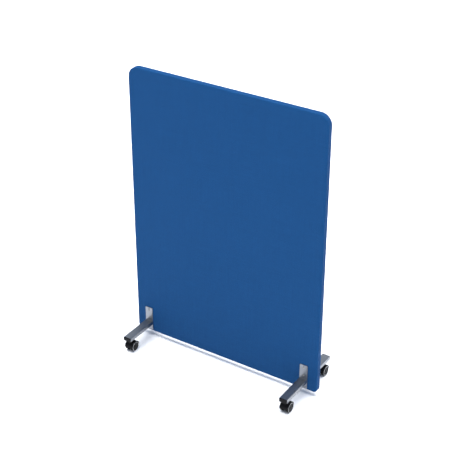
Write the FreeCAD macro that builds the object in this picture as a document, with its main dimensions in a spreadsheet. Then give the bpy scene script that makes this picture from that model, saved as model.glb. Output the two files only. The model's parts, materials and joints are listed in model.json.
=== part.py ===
import FreeCAD, Part
import math
import os
import re
import sys

import Sketcher

# A mobile partition wall: one fabric-covered panel that stands on two feet.
#
# The panel is a timber frame with a softboard core, thin padding on both faces and a fabric cover
# of two halves that meet along the middle of its edge.  Each foot is a pair of short tube arms, one
# in front and one behind.  Each arm is welded to a flat plate, and two bolts clamp the plates to the
# panel.  A twin-wheel castor stands under each arm.
#
# Frame: +Z is up and z = 0 is the floor.  X runs along the panel, Y through it, and the front is -Y.
# The origin is on the floor, under the middle of the panel.  All sizes are millimetres.

SIZES = (
    ("overall_height", 1397, "floor to the top edge of the panel"),
    ("floor_gap", 29, "floor to the bottom edge of the panel"),
    ("panel_width", 1000, "across the cover"),
    ("panel_depth", 30, "through both faces of the cover"),
    ("top_corner", 50, "outer radius of the two top corners"),
    ("bottom_corner", 18, "outer radius of the two bottom corners"),
    ("edge_round", 4.8, "soft rounding where a face turns into the edge"),
    ("cover_thickness", 1, "woven fabric"),
    ("padding_thickness", 4, "wadding between the cover and the timber"),
    ("padding_round", 3.9, "rounding of the wadding's outer edges"),
    ("member_width", 40, "timber rails and stiles, seen from the front"),
    ("mid_rail_height", 713, "floor to the middle of the middle rail"),
    ("corner_block", 60, "side of the square plywood block in each top corner"),
    ("foot_block_width", 70, "solid timber behind the foot plates"),
    ("foot_block_height", 110, "solid timber behind the foot plates"),
    ("dowel_radius", 4, "beech dowels in the frame joints"),
    ("dowel_length", 40, "beech dowels in the frame joints"),
    ("dowel_play", 0.05, "radial room of a dowel in its hole"),
    ("foot_centre", 431, "middle of the panel to the middle of a foot"),
    ("foot_depth", 400, "end to end of a foot, over its end caps"),
    ("plate_width", 40, "flat steel plate"),
    ("plate_height", 125, "flat steel plate"),
    ("plate_bottom", 36, "floor to the bottom of the plate"),
    ("plate_thickness", 4, "flat steel plate"),
    ("plate_corner", 4, "radius of the plate's corners"),
    ("plate_ease", 0.6, "rounding of the plate's outer rim"),
    ("low_bolt", 105, "floor to the lower clamp bolt"),
    ("high_bolt", 148, "floor to the upper clamp bolt"),
    ("tube_width", 40, "rectangular steel tube"),
    ("tube_height", 20, "rectangular steel tube"),
    ("tube_wall", 2, "rectangular steel tube"),
    ("tube_corner", 2.5, "outer radius of the tube's long edges"),
    ("tube_underside", 67, "floor to the underside of the arm"),
    ("weld_leg", 3, "fillet weld between tube and plate"),
    ("cap_thickness", 4, "head of the plastic end cap"),
    ("cap_plug", 12, "depth of the end cap inside the tube"),
    ("cap_wall", 2, "wall of the end cap's plug"),
    ("cap_play", 0.2, "room between the plug and the tube"),
    ("bolt_radius", 3, "M6 button-head bolt"),
    ("bolt_length", 25, "under the head"),
    ("bolt_head_radius", 5.5, "M6 button-head bolt"),
    ("bolt_head_height", 3.3, "M6 button-head bolt"),
    ("hex_key", 4, "across the flats of the bolts' sockets"),
    ("hex_depth", 2, "depth of the bolts' sockets"),
    ("bolt_clearance", 0.3, "radial room of a bolt in its plate"),
    ("sleeve_radius", 4, "barrel of the sleeve nut"),
    ("sleeve_head_radius", 6, "head of the sleeve nut"),
    ("sleeve_head_height", 2.5, "head of the sleeve nut"),
    ("sleeve_clearance", 0.3, "radial room of a barrel in the panel"),
    ("thread_play", 0.05, "radial room where a screw sits in its thread"),
    ("castor_reach", 173, "middle of the panel to a castor's swivel axis"),
    ("castor_trail", 10, "swivel axis to the wheels' axle"),
    ("stem_radius", 4, "M8 castor stem"),
    ("stem_top", 81, "floor to the top of the stem"),
    ("stem_foot", 43, "floor to the bottom of the stem"),
    ("stem_hex", 13, "across the flats of the stem's collar"),
    ("stem_collar_low", 61.4, "floor to the underside of the stem's collar"),
    ("nut_radius", 5.5, "rivet nut in the arm"),
    ("nut_flange_radius", 8, "rivet nut in the arm"),
    ("nut_flange", 1, "thickness of the rivet nut's flange"),
    ("nut_depth", 12, "rivet nut inside the tube"),
    ("wheel_radius", 25, "castor wheel"),
    ("wheel_width", 14.5, "castor wheel"),
    ("wheel_gap", 15, "between the two wheels of a castor"),
    ("wheel_edge", 1.8, "rounding of the wheel's rim"),
    ("wheel_web", 3, "disc of the wheel, at its outer face"),
    ("wheel_dish", 1.2, "how far the disc lies behind the rim"),
    ("rim_inner_radius", 20, "inside of the wheel's rim"),
    ("hub_radius", 6, "hub of the wheel"),
    ("ring_outer_radius", 23, "trim ring"),
    ("ring_inner_radius", 21, "trim ring"),
    ("ring_depth", 1.5, "groove that holds the trim ring"),
    ("ring_proud", 0.3, "how far the ring stands out of the rim"),
    ("axle_radius", 2.5, "castor axle"),
    ("axle_end_gap", 3, "axle end to the wheel's outer face"),
    ("axle_play", 0.06, "radial room of the axle in a wheel"),
    ("axle_fit", 0.02, "radial room of the axle in the housing"),
    ("hood_radius", 28.4, "outside of the castor's hood"),
    ("well_radius", 26.2, "inside of the castor's hood"),
    ("hood_edge", 1.2, "rounding of the hood's rims"),
    ("web_thickness", 12.4, "castor housing between its wheels"),
    ("web_hub_radius", 11, "castor housing round the axle"),
    ("boss_radius", 9.5, "top of the castor housing"),
    ("boss_top", 61, "floor to the top of the castor housing"),
    ("bore_foot", 41, "floor to the bottom of the swivel bore"),
    ("swivel_play", 0.06, "radial room of the stem in the housing"),
)

# Sizes that follow from the ones above, as expressions over the sheet.
COVER_HALF_DEPTH = "panel_depth / 2"
PADDING_FACE = "(panel_depth / 2 - cover_thickness)"
FRAME_DEPTH = "(panel_depth - 2 * cover_thickness - 2 * padding_thickness)"
FRAME_FACE = "(panel_depth / 2 - cover_thickness - padding_thickness)"
FRAME_HALF_WIDTH = "(panel_width / 2 - cover_thickness)"
FRAME_TOP = "(overall_height - cover_thickness)"
FRAME_BOTTOM = "(floor_gap + cover_thickness)"
STILE_INSIDE = f"({FRAME_HALF_WIDTH} - member_width)"
FRAME_TOP_CORNER = "(top_corner - cover_thickness)"
FRAME_BOTTOM_CORNER = "(bottom_corner - cover_thickness)"
BOTTOM_RAIL_TOP = f"({FRAME_BOTTOM} + member_width)"
FOOT_BLOCK_TOP = f"({BOTTOM_RAIL_TOP} + foot_block_height)"
FOOT_BLOCK_INSIDE = f"({STILE_INSIDE} - foot_block_width)"
MID_RAIL_LOW = "(mid_rail_height - member_width / 2)"
MID_RAIL_HIGH = "(mid_rail_height + member_width / 2)"
BLOCK_INSIDE = f"({FRAME_HALF_WIDTH} - corner_block)"
BLOCK_LOW = f"({FRAME_TOP} - corner_block)"
DOWEL_HOLE = "(dowel_radius + dowel_play)"
PLATE_BACK = "(panel_depth / 2)"
PLATE_FACE = "(panel_depth / 2 + plate_thickness)"
PLATE_TOP = "(plate_bottom + plate_height)"
ARM_END = "(foot_depth / 2 - cap_thickness)"
TUBE_TOP = "(tube_underside + tube_height)"
BOLT_HOLE = "(bolt_radius + bolt_clearance)"
SLEEVE_HOLE = "(sleeve_radius + sleeve_clearance)"
STEM_HOLE = "(stem_radius + swivel_play)"
WHEEL_OUTSIDE = "(wheel_gap / 2 + wheel_width)"
AXLE_HALF_LENGTH = f"({WHEEL_OUTSIDE} - axle_end_gap)"

# Bolt centres in a foot, seen from the front: across from the foot's middle, up from the floor.
BOLT_PLACES = (("0", "low_bolt"), ("0", "high_bolt"))

SHARP = None
SIDES = (("left", -1), ("right", 1))
FACES = (("front", -1), ("back", 1))
FULL_TURN = 360
HALF_TURN = 180
HEX_CORNERS = 6

doc = FreeCAD.newDocument("partition_wall")
sheet = doc.addObject("Spreadsheet::Sheet", "Sizes")
for row, (alias, number, note) in enumerate(SIZES, start=1):
    sheet.set(f"A{row}", alias)
    sheet.set(f"B{row}", str(number))
    sheet.set(f"C{row}", note)
    sheet.setAlias(f"B{row}", alias)
doc.recompute()

ALIASES = {alias for alias, number, note in SIZES}
nodes = []

# A spare object whose one number shows what an expression comes to.
probe = doc.addObject("App::FeaturePython", "Probe")
probe.addProperty("App::PropertyFloat", "Number")


# ---------------------------------------------------------------- expressions and placing

def bound(expression):
    """The expression as another object writes it, with each alias named on the sheet."""
    return re.sub(r"[a-z_]+", lambda word: f"Sizes.{word[0]}" if word[0] in ALIASES else word[0], expression)


def bind(thing, path, expression):
    """Tie one property of an object to the sheet."""
    thing.setExpression(path, bound(expression))


def value(expression):
    """The number that an expression over the sheet gives."""
    bind(probe, "Number", expression)
    probe.recompute()
    return probe.Number


def place(thing, across="0", through="0", up="0", turn=0):
    """Turn a piece about Z, then stand it at a point given by three expressions."""
    upright = FreeCAD.Rotation(FreeCAD.Vector(0, 0, 1), turn)
    thing.Placement = FreeCAD.Placement(FreeCAD.Vector(0, 0, 0), upright)
    for axis, expression in (("x", across), ("y", through), ("z", up)):
        bind(thing, f"Placement.Base.{axis}", expression)


# ---------------------------------------------------------------- sketches

def new_body(label):
    """An empty body, which becomes the sub-part of that name."""
    body = doc.addObject("PartDesign::Body", label)
    body.Label = label
    return body


def keep(piece):
    """Count a finished object as a sub-part, to be written to a file of its own."""
    nodes.append(piece)
    return piece


def origin_feature(body, role):
    """One of a body's own origin planes or axes."""
    return next(feature for feature in body.Origin.OriginFeatures if feature.Role == role)


def new_sketch(body, name, role, offset="0"):
    """A sketch on one of the body's origin planes, moved along the plane's normal.

    The normals are +Z for XY_Plane, -Y for XZ_Plane and +X for YZ_Plane.
    """
    sketch = body.newObject("Sketcher::SketchObject", name)
    sketch.AttachmentSupport = [(origin_feature(body, role), "")]
    sketch.MapMode = "FlatFace"
    bind(sketch, "AttachmentOffset.Base.z", offset)
    return sketch


def constrain(sketch, kind, *places, expression=None):
    """Add one constraint, driven by an expression where one is given."""
    if expression is None:
        sketch.addConstraint(Sketcher.Constraint(kind, *places))
        return
    index = sketch.addConstraint(Sketcher.Constraint(kind, *places, value(expression)))
    bind(sketch, f"Constraints[{index}]", expression)


def locate(sketch, shape, point, across, up):
    """Hold one point of a shape at a distance from the sketch's origin."""
    constrain(sketch, "DistanceX", -1, 1, shape, point, expression=across)
    constrain(sketch, "DistanceY", -1, 1, shape, point, expression=up)


def add_circle(sketch, across, up, radius):
    """A circle with its centre and radius held."""
    centre = FreeCAD.Vector(value(across), value(up), 0)
    circle = sketch.addGeometry(Part.Circle(centre, FreeCAD.Vector(0, 0, 1), value(radius)), False)
    locate(sketch, circle, 3, across, up)
    constrain(sketch, "Radius", circle, expression=radius)


def add_polygon(sketch, corners):
    """A closed run of straight lines through corners given as pairs of expressions."""
    points = [FreeCAD.Vector(value(across), value(up), 0) for across, up in corners]
    lines = []
    for start, end in zip(points, points[1:] + points[:1]):
        lines.append(sketch.addGeometry(Part.LineSegment(start, end), False))
    for line, following in zip(lines, lines[1:] + lines[:1]):
        constrain(sketch, "Coincident", line, 2, following, 1)
    for line, (across, up) in zip(lines, corners):
        locate(sketch, line, 1, across, up)


def add_rectangle(sketch, left, right, low, high, radii=(SHARP,) * 4):
    """An upright rectangle.  Its radii are for low left, low right, high right and high left."""
    corners = ((left, low, -1, -1), (right, low, 1, -1), (right, high, 1, 1), (left, high, -1, 1))
    turns = []
    for (across, up, side, end), radius in zip(corners, radii):
        reach = 0 if radius is SHARP else value(radius)
        corner = FreeCAD.Vector(value(across), value(up), 0)
        level = corner - FreeCAD.Vector(side * reach, 0, 0)
        upright = corner - FreeCAD.Vector(0, end * reach, 0)
        crown = corner - FreeCAD.Vector(side, end, 0) * (reach * (1 - math.sqrt(0.5)))
        turns.append((upright, crown, level) if side == end else (level, crown, upright))
    lines = []
    for (entry, crown, leave), (next_entry, *rest) in zip(turns, turns[1:] + turns[:1]):
        lines.append(sketch.addGeometry(Part.LineSegment(leave, next_entry), False))
    for index, (turn, radius) in enumerate(zip(turns, radii)):
        before, after = lines[index - 1], lines[index]
        constrain(sketch, "Vertical" if index % 2 else "Horizontal", after)
        if radius is SHARP:
            constrain(sketch, "Coincident", before, 2, after, 1)
            continue
        arc = sketch.addGeometry(Part.Arc(*turn), False)
        constrain(sketch, "Tangent", before, 2, arc, 1)
        constrain(sketch, "Tangent", arc, 2, after, 1)
        constrain(sketch, "Radius", arc, expression=radius)
    for line, kind, expression in zip(lines, ("DistanceY", "DistanceX") * 2, (low, right, high, left)):
        constrain(sketch, kind, -1, 1, line, 1, expression=expression)


# ---------------------------------------------------------------- solid features

def pad(body, sketch, length, both_ways=False, backwards=False):
    """Material along the sketch's normal."""
    feature = body.newObject("PartDesign::Pad", "pad")
    feature.Profile = sketch
    bind(feature, "Length", length)
    feature.Midplane = both_ways
    feature.Reversed = backwards
    sketch.Visibility = False
    return feature


def pocket(body, sketch, length, both_ways=False, backwards=False):
    """A cut against the sketch's normal, which has to take some material away."""
    doc.recompute()
    before = body.Shape.Volume
    feature = body.newObject("PartDesign::Pocket", "pocket")
    feature.Profile = sketch
    bind(feature, "Length", length)
    feature.Midplane = both_ways
    feature.Reversed = backwards
    doc.recompute()
    if not body.Shape.Volume < before:
        raise SystemExit(f"{body.Label}: a pocket cuts nothing")
    return feature


def revolve(body, sketch, axis):
    """Material all the way round one of the body's origin axes."""
    feature = body.newObject("PartDesign::Revolution", "revolution")
    feature.Profile = sketch
    feature.ReferenceAxis = (origin_feature(body, axis), [""])
    feature.Angle = FULL_TURN
    return feature


def round_edges(body, feature, radius, wanted):
    """Round those edges of a feature for which wanted(edge) is true."""
    doc.recompute()
    names = [f"Edge{number}" for number, edge in enumerate(feature.Shape.Edges, start=1) if wanted(edge)]
    if not names:
        raise SystemExit(f"{body.Label}: no edge to round")
    fillet = body.newObject("PartDesign::Fillet", "rounding")
    fillet.Base = (feature, names)
    bind(fillet, "Radius", radius)
    return fillet


def lies_at(axis, expression):
    """A test for edges that lie whole in the plane where one coordinate has that value."""
    level = value(expression)

    def test(edge):
        box = edge.BoundBox
        low, high = getattr(box, f"{axis}Min"), getattr(box, f"{axis}Max")
        return abs(low - level) < 1e-4 and abs(high - level) < 1e-4

    return test


def has_radius(expression):
    """A test for edges that are circles of that radius."""
    radius = value(expression)
    return lambda edge: isinstance(edge.Curve, Part.Circle) and abs(edge.Curve.Radius - radius) < 1e-6


def group(label, prototype, places):
    """One sub-part of separate identical solids: a prototype stood at each place."""
    links = []
    for across, through, up, turn in places:
        link = doc.addObject("App::Link", f"{label}_place")
        link.LinkedObject = prototype
        place(link, across, through, up, turn)
        links.append(link)
    compound = doc.addObject("Part::Compound", label)
    compound.Label = label
    compound.Links = links
    return keep(compound)


def both_sides(across, up):
    """Two places, left and right of the panel's middle."""
    return [(f"-({across})", "0", up, 0), (across, "0", up, 0)]


# ---------------------------------------------------------------- timber frame and core

def cross_hole(body, across, up):
    """Two dowel holes bored along X, from the ends of a rail or from the side of a stile."""
    sketch = new_sketch(body, "level_bore", "YZ_Plane", across)
    add_circle(sketch, "0", up, DOWEL_HOLE)
    pocket(body, sketch, "dowel_length", both_ways=True)


def upright_hole(body, across, up):
    """A dowel hole bored along Z."""
    sketch = new_sketch(body, "upright_bore", "XY_Plane", up)
    add_circle(sketch, across, "0", DOWEL_HOLE)
    pocket(body, sketch, "dowel_length", both_ways=True)


def make_stile(side, sign):
    """An upright at one end of the panel, built as the right-hand one and turned for the left."""
    body = new_body(f"{side}_stile")
    outline = new_sketch(body, "stile_outline", "XZ_Plane")
    radii = (SHARP, FRAME_BOTTOM_CORNER, SHARP, SHARP)
    add_rectangle(outline, STILE_INSIDE, FRAME_HALF_WIDTH, FRAME_BOTTOM, BLOCK_LOW, radii)
    pad(body, outline, FRAME_DEPTH, both_ways=True)
    for up in (f"{FRAME_BOTTOM} + member_width / 2", "mid_rail_height"):
        cross_hole(body, STILE_INSIDE, up)
    upright_hole(body, f"{STILE_INSIDE} + member_width / 2", BLOCK_LOW)
    place(body, turn=0 if sign > 0 else HALF_TURN)
    return keep(body)


def make_rail(label, half_length, low, high):
    """A level member with a dowel hole in each end."""
    body = new_body(label)
    outline = new_sketch(body, "rail_outline", "XZ_Plane")
    add_rectangle(outline, f"-{half_length}", half_length, low, high)
    pad(body, outline, FRAME_DEPTH, both_ways=True)
    for across in (f"-{half_length}", half_length):
        cross_hole(body, across, f"({low} + {high}) / 2")
    return keep(body)


def make_corner_blocks():
    """The plywood blocks that give the top corners their round shape."""
    body = new_body("corner_block_prototype")
    outline = new_sketch(body, "block_outline", "XZ_Plane")
    radii = (SHARP, SHARP, FRAME_TOP_CORNER, SHARP)
    add_rectangle(outline, BLOCK_INSIDE, FRAME_HALF_WIDTH, BLOCK_LOW, FRAME_TOP, radii)
    pad(body, outline, FRAME_DEPTH, both_ways=True)
    cross_hole(body, BLOCK_INSIDE, f"{FRAME_TOP} - member_width / 2")
    upright_hole(body, f"{STILE_INSIDE} + member_width / 2", BLOCK_LOW)
    return group("corner_blocks", body, [("0", "0", "0", HALF_TURN), ("0", "0", "0", 0)])


def make_foot_blocks():
    """Solid timber that the clamp bolts go through, beside each stile."""
    body = new_body("foot_block_prototype")
    outline = new_sketch(body, "block_outline", "XZ_Plane")
    add_rectangle(outline, FOOT_BLOCK_INSIDE, STILE_INSIDE, BOTTOM_RAIL_TOP, FOOT_BLOCK_TOP)
    pad(body, outline, FRAME_DEPTH, both_ways=True)
    bores = new_sketch(body, "bolt_bores", "XZ_Plane")
    for across, up in BOLT_PLACES:
        add_circle(bores, f"foot_centre + {across}", up, SLEEVE_HOLE)
    pocket(body, bores, FRAME_DEPTH, both_ways=True)
    return group("foot_blocks", body, [("0", "0", "0", HALF_TURN), ("0", "0", "0", 0)])


def make_core(label, corners):
    """A softboard slab that fills one bay of the timber frame."""
    body = new_body(label)
    outline = new_sketch(body, "core_outline", "XZ_Plane")
    add_polygon(outline, corners)
    pad(body, outline, FRAME_DEPTH, both_ways=True)
    return keep(body)


def mirrored_outline(right_half):
    """A closed outline from the corners of its right half, listed upwards."""
    left_half = [(f"-{across}", up) for across, up in reversed(right_half)]
    return list(right_half) + left_half


def make_dowels():
    """The dowels, along X in the rails' ends and along Z under the corner blocks."""
    level = new_body("level_dowel_prototype")
    section = new_sketch(level, "dowel_section", "YZ_Plane")
    add_circle(section, "0", "0", "dowel_radius")
    pad(level, section, "dowel_length", both_ways=True)
    places = both_sides(STILE_INSIDE, f"{FRAME_BOTTOM} + member_width / 2")
    places += both_sides(STILE_INSIDE, "mid_rail_height")
    places += both_sides(BLOCK_INSIDE, f"{FRAME_TOP} - member_width / 2")
    group("rail_dowels", level, places)
    upright = new_body("upright_dowel_prototype")
    section = new_sketch(upright, "dowel_section", "XY_Plane")
    add_circle(section, "0", "0", "dowel_radius")
    pad(upright, section, "dowel_length", both_ways=True)
    group("stile_dowels", upright, both_sides(f"{STILE_INSIDE} + member_width / 2", BLOCK_LOW))


# ---------------------------------------------------------------- padding and cover

def panel_outline(sketch, inset):
    """The panel's front outline, moved inwards by an expression."""
    low_radius = f"bottom_corner - ({inset})"
    high_radius = f"top_corner - ({inset})"
    half_width = f"(panel_width / 2 - ({inset}))"
    low = f"floor_gap + ({inset})"
    high = f"overall_height - ({inset})"
    radii = (low_radius, low_radius, high_radius, high_radius)
    add_rectangle(sketch, f"-{half_width}", half_width, low, high, radii)


def bore_for_sleeves(body):
    """Holes for the four sleeve nuts, through a layer of the panel."""
    bores = new_sketch(body, "sleeve_bores", "XZ_Plane")
    for side, sign in SIDES:
        for across, up in BOLT_PLACES:
            add_circle(bores, f"{sign} * (foot_centre + {across})", up, SLEEVE_HOLE)
    pocket(body, bores, "2 * panel_depth", both_ways=True)


def make_padding(face, sign):
    """A wadding layer on one face of the frame, built as the front one."""
    body = new_body(f"{face}_padding")
    outline = new_sketch(body, "padding_outline", "XZ_Plane", FRAME_FACE)
    panel_outline(outline, "cover_thickness")
    slab = pad(body, outline, "padding_thickness")
    round_edges(body, slab, "padding_round", lies_at("Y", f"-{PADDING_FACE}"))
    bore_for_sleeves(body)
    place(body, turn=0 if sign < 0 else HALF_TURN)
    return keep(body)


def make_cover(face, sign):
    """Half of the fabric cover: one face, wrapped to the middle of the edge.  Built as the front."""
    body = new_body(f"{face}_cover")
    outline = new_sketch(body, "cover_outline", "XZ_Plane")
    panel_outline(outline, "0")
    pad(body, outline, COVER_HALF_DEPTH)
    inside = new_sketch(body, "cover_inside", "XZ_Plane")
    panel_outline(inside, "cover_thickness")
    hollow = pocket(body, inside, PADDING_FACE, backwards=True)
    shell = round_edges(body, hollow, "edge_round - cover_thickness", lies_at("Y", f"-{PADDING_FACE}"))
    round_edges(body, shell, "edge_round", lies_at("Y", f"-({COVER_HALF_DEPTH})"))
    bore_for_sleeves(body)
    place(body, turn=0 if sign < 0 else HALF_TURN)
    return keep(body)


# ---------------------------------------------------------------- feet

def make_plate(side, sign, face, facing):
    """The flat plate of one arm.  Front plates take bolts, back plates take sleeve nuts."""
    body = new_body(f"{face}_{side}_plate")
    outline = new_sketch(body, "plate_outline", "XZ_Plane", PLATE_BACK)
    half_width = "plate_width / 2"
    add_rectangle(outline, f"-{half_width}", half_width, "plate_bottom", PLATE_TOP, ("plate_corner",) * 4)
    flat_bar = pad(body, outline, "plate_thickness")
    round_edges(body, flat_bar, "plate_ease", lies_at("Y", f"-{PLATE_FACE}"))
    bores = new_sketch(body, "plate_bores", "XZ_Plane")
    for across, up in BOLT_PLACES:
        add_circle(bores, across, up, BOLT_HOLE if facing < 0 else SLEEVE_HOLE)
    pocket(body, bores, "2 * panel_depth", both_ways=True)
    place(body, f"{sign} * foot_centre", turn=0 if facing < 0 else HALF_TURN)
    return keep(body)


def make_arm(side, sign, face, facing):
    """A rectangular tube from the plate to the end cap, with a hole for its rivet nut."""
    body = new_body(f"{face}_{side}_arm")
    section = new_sketch(body, "tube_section", "XZ_Plane", PLATE_FACE)
    outer = "tube_width / 2"
    inner = "(tube_width / 2 - tube_wall)"
    add_rectangle(section, f"-{outer}", outer, "tube_underside", TUBE_TOP, ("tube_corner",) * 4)
    inner_radii = ("tube_corner - tube_wall",) * 4
    floor = "tube_underside + tube_wall"
    add_rectangle(section, f"-{inner}", inner, floor, f"{TUBE_TOP} - tube_wall", inner_radii)
    pad(body, section, f"{ARM_END} - {PLATE_FACE}")
    bore = new_sketch(body, "rivet_nut_bore", "XY_Plane", "tube_underside")
    add_circle(bore, "0", "-castor_reach", "nut_radius + thread_play")
    pocket(body, bore, "2 * tube_wall", both_ways=True)
    place(body, f"{sign} * foot_centre", turn=0 if facing < 0 else HALF_TURN)
    return keep(body)


def make_end_cap(side, sign, face, facing):
    """A moulded cap: a head as large as the tube and a hollow plug inside it."""
    body = new_body(f"{face}_{side}_end_cap")
    head = new_sketch(body, "cap_head", "XZ_Plane", ARM_END)
    half_width = "tube_width / 2"
    add_rectangle(head, f"-{half_width}", half_width, "tube_underside", TUBE_TOP, ("tube_corner",) * 4)
    block = pad(body, head, "cap_thickness")
    round_edges(body, block, "cap_thickness / 3", lies_at("Y", "-foot_depth / 2"))
    plug = new_sketch(body, "cap_plug_outline", "XZ_Plane", ARM_END)
    reach = "(tube_width / 2 - tube_wall - cap_play)"
    low = "tube_underside + tube_wall + cap_play"
    high = f"{TUBE_TOP} - tube_wall - cap_play"
    add_rectangle(plug, f"-{reach}", reach, low, high, ("cap_wall / 2",) * 4)
    hollow = f"({reach} - cap_wall)"
    add_rectangle(plug, f"-{hollow}", hollow, f"{low} + cap_wall", f"{high} - cap_wall")
    pad(body, plug, "cap_plug", backwards=True)
    place(body, f"{sign} * foot_centre", turn=0 if facing < 0 else HALF_TURN)
    return keep(body)


def foot_places(through="0", up="0"):
    """The four arms' places, as the front arm's own frame sees them."""
    places = []
    for face, facing in FACES:
        for side, sign in SIDES:
            turn = 0 if facing < 0 else HALF_TURN
            places.append((f"{sign} * foot_centre", f"{-facing} * ({through})", up, turn))
    return places


def make_welds():
    """Fillet welds along the top and the underside of each tube, where it meets its plate."""
    body = new_body("weld_prototype")
    section = new_sketch(body, "weld_section", "YZ_Plane")
    for height, away in ((TUBE_TOP, 1), ("tube_underside", -1)):
        root = (f"-{PLATE_FACE}", height)
        along_plate = (f"-{PLATE_FACE}", f"{height} + {away} * weld_leg")
        along_tube = (f"-({PLATE_FACE} + weld_leg)", height)
        add_polygon(section, (root, along_plate, along_tube))
    pad(body, section, "tube_width - 2 * tube_corner", both_ways=True)
    return group("weld_beads", body, foot_places())


def make_rivet_nuts():
    """Threaded rivet nuts in the undersides of the arms."""
    body = new_body("rivet_nut_prototype")
    profile = new_sketch(body, "rivet_nut_profile", "XZ_Plane")
    bore = "(stem_radius + thread_play)"
    add_polygon(profile, (
        (bore, "tube_underside - nut_flange"),
        ("nut_flange_radius", "tube_underside - nut_flange"),
        ("nut_flange_radius", "tube_underside"),
        ("nut_radius", "tube_underside"),
        ("nut_radius", "tube_underside + nut_depth"),
        (bore, "tube_underside + nut_depth"),
    ))
    revolve(body, profile, "Z_Axis")
    return group("rivet_nuts", body, foot_places("-castor_reach"))


def hexagon(across_flats):
    """The corners of a regular hexagon about the sketch's origin."""
    reach = f"({across_flats} / sqrt(3))"
    angles = [FULL_TURN / HEX_CORNERS * number for number in range(HEX_CORNERS)]
    return [(f"{reach} * cos({angle:g})", f"{reach} * sin({angle:g})") for angle in angles]


def make_clamp_bolts():
    """Button-head bolts with hexagon sockets, from the front plates into the sleeve nuts."""
    body = new_body("clamp_bolt_prototype")
    profile = new_sketch(body, "bolt_profile", "YZ_Plane")
    crown = "bolt_head_height"
    add_polygon(profile, (
        ("bolt_length", "0"),
        ("bolt_length", "bolt_radius"),
        ("0", "bolt_radius"),
        ("0", "bolt_head_radius"),
        (f"-{crown} * 0.35", "bolt_head_radius * 0.95"),
        (f"-{crown} * 0.75", "bolt_head_radius * 0.75"),
        (f"-{crown}", "bolt_head_radius * 0.45"),
        (f"-{crown}", "0"),
    ))
    revolve(body, profile, "Y_Axis")
    socket = new_sketch(body, "socket", "XZ_Plane", crown)
    add_polygon(socket, hexagon("hex_key"))
    pocket(body, socket, "hex_depth")
    places = []
    for side, sign in SIDES:
        for across, up in BOLT_PLACES:
            places.append((f"{sign} * (foot_centre + {across})", f"-{PLATE_FACE}", up, 0))
    return group("clamp_bolts", body, places)


def make_sleeve_nuts():
    """Sleeve nuts with round heads, from the back plates through the panel."""
    body = new_body("sleeve_nut_prototype")
    profile = new_sketch(body, "sleeve_profile", "YZ_Plane")
    mouth = f"-({PLATE_BACK} - 1)"
    bore = "(bolt_radius + thread_play)"
    bore_end = f"bolt_length - {PLATE_FACE} + 2"
    outside = f"{PLATE_FACE} + sleeve_head_height"
    add_polygon(profile, (
        (mouth, bore),
        (mouth, "sleeve_radius"),
        (PLATE_FACE, "sleeve_radius"),
        (PLATE_FACE, "sleeve_head_radius"),
        (f"{outside} - 1", "sleeve_head_radius"),
        (outside, "sleeve_head_radius - 1"),
        (outside, "0"),
        (bore_end, "0"),
        (bore_end, bore),
    ))
    revolve(body, profile, "Y_Axis")
    socket = new_sketch(body, "socket", "XZ_Plane", f"-({outside})")
    add_polygon(socket, hexagon("hex_key"))
    pocket(body, socket, "hex_depth", backwards=True)
    places = []
    for side, sign in SIDES:
        for across, up in BOLT_PLACES:
            places.append((f"{sign} * (foot_centre + {across})", "0", up, 0))
    return group("sleeve_nuts", body, places)


# ---------------------------------------------------------------- castors

# Each castor is built as the front one and turned for the back, with its wheels trailing inwards.
AXLE_REACH = "(castor_reach - castor_trail)"


def castor_places():
    """Name, X sign, Y sign and turn of each castor."""
    places = []
    for face, facing in FACES:
        for side, sign in SIDES:
            places.append((f"{face}_{side}_castor", sign, facing, 0 if facing < 0 else HALF_TURN))
    return places


def make_stem(name, sign, facing, turn):
    """A threaded stem with a hexagon collar, and a plain pin that the housing turns on."""
    body = new_body(f"{name}_stem")
    pin = new_sketch(body, "stem_section", "XY_Plane", "stem_foot")
    add_circle(pin, "0", "0", "stem_radius")
    pad(body, pin, "stem_top - stem_foot")
    collar = new_sketch(body, "collar_outline", "XY_Plane", "stem_collar_low")
    add_polygon(collar, hexagon("stem_hex"))
    pad(body, collar, "tube_underside - nut_flange - stem_collar_low")
    place(body, f"{sign} * foot_centre", f"{facing} * castor_reach", turn=turn)
    return keep(body)


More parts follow.
